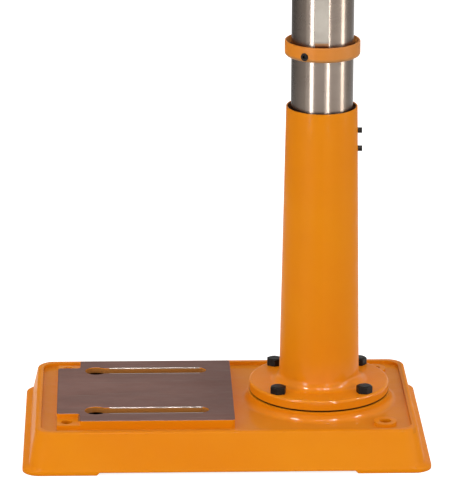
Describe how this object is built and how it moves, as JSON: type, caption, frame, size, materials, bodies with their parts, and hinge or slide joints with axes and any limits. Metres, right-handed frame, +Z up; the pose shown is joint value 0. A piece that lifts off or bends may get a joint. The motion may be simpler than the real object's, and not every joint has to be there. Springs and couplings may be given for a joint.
{
  "type": "floor drill press",
  "caption": "Floor-standing drill press: slotted cast base, flanged pedestal and column, rack-lifted tilting table, belt-driven head with quill feed, chuck and hinged guard.",
  "frame": {"origin": "on the floor, in the middle of the four anchor holes of the base", "axes": "+Z up, -Y towards the operator, +X to the operator's right"},
  "size_m": [0.3333, 0.6605, 1.5744],
  "materials": {
    "orange_paint": "gloss enamel",
    "polished_steel": "ground",
    "bearing_steel": "ground",
    "black_oxide": "blackened",
    "ground_iron": "machined",
    "plated_steel": "bright plated",
    "black_plastic": "moulded",
    "dial_aluminium": "satin",
    "spring_steel": "blued",
    "cover_black": "satin enamel",
    "pulley_aluminium": "turned",
    "belt_rubber": "matt",
    "stator_core": "laminated",
    "rotor_core": "laminated",
    "green_button": "moulded",
    "red_button": "moulded"
  },
  "bodies": {
    "frame": {"base_casting": "orange_paint", "pedestal": "orange_paint", "flange_bolts": "black_oxide", "pedestal_set_screws": "black_oxide", "column_tube": "polished_steel", "lower_collar": "orange_paint", "upper_collar": "orange_paint", "collar_set_screws": "black_oxide", "head_casting": "orange_paint", "head_set_screws": "black_oxide", "spring_case": "cover_black", "return_spring": "spring_steel", "drive_bearings": "bearing_steel", "idler_post": "polished_steel", "idler_bearings": "bearing_steel", "front_belt": "belt_rubber", "rear_belt": "belt_rubber", "guard_pan": "orange_paint", "guard_hinge_pins": "bearing_steel", "switch_box": "black_plastic"},
    "rack": {"table_rack": "polished_steel"},
    "bracket": {"table_bracket": "orange_paint", "pinion_bush": "bearing_steel", "tilt_bolt": "black_oxide"},
    "crank": {"lift_pinion": "polished_steel", "crank_arm": "plated_steel"},
    "grip": {"crank_grip": "black_plastic"},
    "bracket_lever": {"bracket_clamp_lever": "plated_steel", "bracket_lever_knob": "black_plastic"},
    "arm": {"table_arm": "orange_paint"},
    "table": {"table": "ground_iron"},
    "table_lever": {"table_lock_lever": "plated_steel", "table_lever_knob": "black_plastic"},
    "quill": {"quill": "polished_steel", "quill_bearings": "bearing_steel"},
    "spindle": {"spindle": "polished_steel", "chuck_body": "black_oxide"},
    "chuck_ring": {"chuck_sleeve": "black_oxide"},
    "jaw_1": {"chuck_jaw_1": "black_oxide"},
    "jaw_2": {"chuck_jaw_2": "black_oxide"},
    "jaw_3": {"chuck_jaw_3": "black_oxide"},
    "feed": {"feed_pinion_shaft": "polished_steel", "feed_hub": "plated_steel", "feed_handles": "plated_steel", "feed_knobs": "black_plastic"},
    "depth": {"depth_ring": "dial_aluminium"},
    "drive": {"drive_sleeve": "polished_steel", "spindle_pulley": "pulley_aluminium"},
    "idler": {"idler_pulley": "pulley_aluminium"},
    "motor": {"motor_casing": "cover_black", "motor_end_bell": "cover_black", "motor_stator": "stator_core", "motor_plate": "orange_paint", "motor_slide_rods": "polished_steel"},
    "rotor": {"motor_rotor": "rotor_core", "motor_pulley": "pulley_aluminium"},
    "lid": {"guard_lid": "orange_paint", "guard_knob": "black_plastic"},
    "start": {"start_button": "green_button"},
    "stop": {"stop_button": "red_button"}
  },
  "joints": [
    {"name": "table_swing", "type": "hinge", "parent": "frame", "child": "rack", "pos_m": [0, 0.125, 0.8], "axis": [0, 0, 1], "range_deg": [-90, 90]},
    {"name": "table_lift", "type": "slide", "parent": "rack", "child": "bracket", "axis": [0, 0, 1], "range_m": [-0.18, 0.1]},
    {"name": "crank_turn", "type": "hinge", "parent": "bracket", "child": "crank", "pos_m": [0.06103, 0.11987, 0.8], "axis": [-0.0837, -0.9965, 0], "range_deg": [-700, 390]},
    {"name": "grip_spin", "type": "hinge", "parent": "crank", "child": "grip", "pos_m": [0.15264, 0.22759, 0.8475], "axis": [-0.0837, -0.9965, 0], "continuous": true},
    {"name": "bracket_clamp", "type": "hinge", "parent": "bracket", "child": "bracket_lever", "pos_m": [-0.072, 0.125, 0.8], "axis": [0, 1, 0], "range_deg": [-30, 30]},
    {"name": "table_tilt", "type": "hinge", "parent": "bracket", "child": "arm", "pos_m": [0, 0.05, 0.8], "axis": [0, 1, 0], "range_deg": [-45, 45]},
    {"name": "table_turn", "type": "hinge", "parent": "arm", "child": "table", "pos_m": [0, -0.09, 0.87], "axis": [0, 0, 1], "continuous": true},
    {"name": "table_clamp", "type": "hinge", "parent": "arm", "child": "table_lever", "pos_m": [0.042, -0.09, 0.808], "axis": [1, 0, 0], "range_deg": [-40, 40]},
    {"name": "quill_feed", "type": "slide", "parent": "frame", "child": "quill", "axis": [0, 0, -1], "range_m": [0, 0.08], "stiffness_N_per_m": 400, "springref_m": -0.2},
    {"name": "feed_turn", "type": "hinge", "parent": "frame", "child": "feed", "pos_m": [0, -0.0464, 1.312], "axis": [1, 0, 0], "range_deg": [0, 330]},
    {"name": "depth_set", "type": "hinge", "parent": "feed", "child": "depth", "pos_m": [0.078, -0.0464, 1.312], "axis": [1, 0, 0], "continuous": true},
    {"name": "motor_slide", "type": "slide", "parent": "frame", "child": "motor", "axis": [0, 1, 0], "range_m": [-0.012, 0]},
    {"name": "motor_spin", "type": "hinge", "parent": "motor", "child": "rotor", "pos_m": [0, 0.31, 1.4], "axis": [0, 0, 1], "continuous": true},
    {"name": "idler_spin", "type": "hinge", "parent": "frame", "child": "idler", "pos_m": [0, 0.118, 1.49], "axis": [0, 0, 1], "continuous": true},
    {"name": "drive_spin", "type": "hinge", "parent": "frame", "child": "drive", "pos_m": [0, -0.09, 1.49], "axis": [0, 0, 1], "continuous": true},
    {"name": "spindle_spin", "type": "hinge", "parent": "quill", "child": "spindle", "pos_m": [0, -0.09, 1.3], "axis": [0, 0, 1], "continuous": true},
    {"name": "chuck_turn", "type": "hinge", "parent": "spindle", "child": "chuck_ring", "pos_m": [0, -0.09, 1.18], "axis": [0, 0, 1], "range_deg": [-270, 720]},
    {"name": "guard_open", "type": "hinge", "parent": "frame", "child": "lid", "pos_m": [-0.102, 0.11, 1.5002], "axis": [0, -1, 0], "range_deg": [0, 95]},
    {"name": "start_press", "type": "slide", "parent": "frame", "child": "start", "axis": [0, 1, 0], "range_m": [0, 0.003], "stiffness_N_per_m": 500, "springref_m": -0.001},
    {"name": "stop_press", "type": "slide", "parent": "frame", "child": "stop", "axis": [0, 1, 0], "range_m": [0, 0.003], "stiffness_N_per_m": 500, "springref_m": -0.001},
    {"name": "jaw_1_slide", "type": "slide", "parent": "spindle", "child": "jaw_1", "axis": [0.309, 0, 0.9511], "range_m": [-0.0031, 0.0081]},
    {"name": "jaw_2_slide", "type": "slide", "parent": "spindle", "child": "jaw_2", "axis": [-0.1545, 0.2676, 0.9511], "range_m": [-0.0031, 0.0081]},
    {"name": "jaw_3_slide", "type": "slide", "parent": "spindle", "child": "jaw_3", "axis": [-0.1545, -0.2676, 0.9511], "range_m": [-0.0031, 0.0081]}
  ],
  "couplings": [
    {"joint": "crank_turn", "follows": "table_lift", "rad_per_m": 66.667},
    {"joint": "feed_turn", "follows": "quill_feed", "rad_per_m": 71.429},
    {"joint": "idler_spin", "follows": "motor_spin", "ratio": 0.46817},
    {"joint": "drive_spin", "follows": "motor_spin", "ratio": 0.26446},
    {"joint": "spindle_spin", "follows": "motor_spin", "ratio": 0.26446},
    {"joint": "jaw_1_slide", "follows": "chuck_turn", "m_per_rad": 0.00063662},
    {"joint": "jaw_2_slide", "follows": "chuck_turn", "m_per_rad": 0.00063662},
    {"joint": "jaw_3_slide", "follows": "chuck_turn", "m_per_rad": 0.00063662}
  ]
}
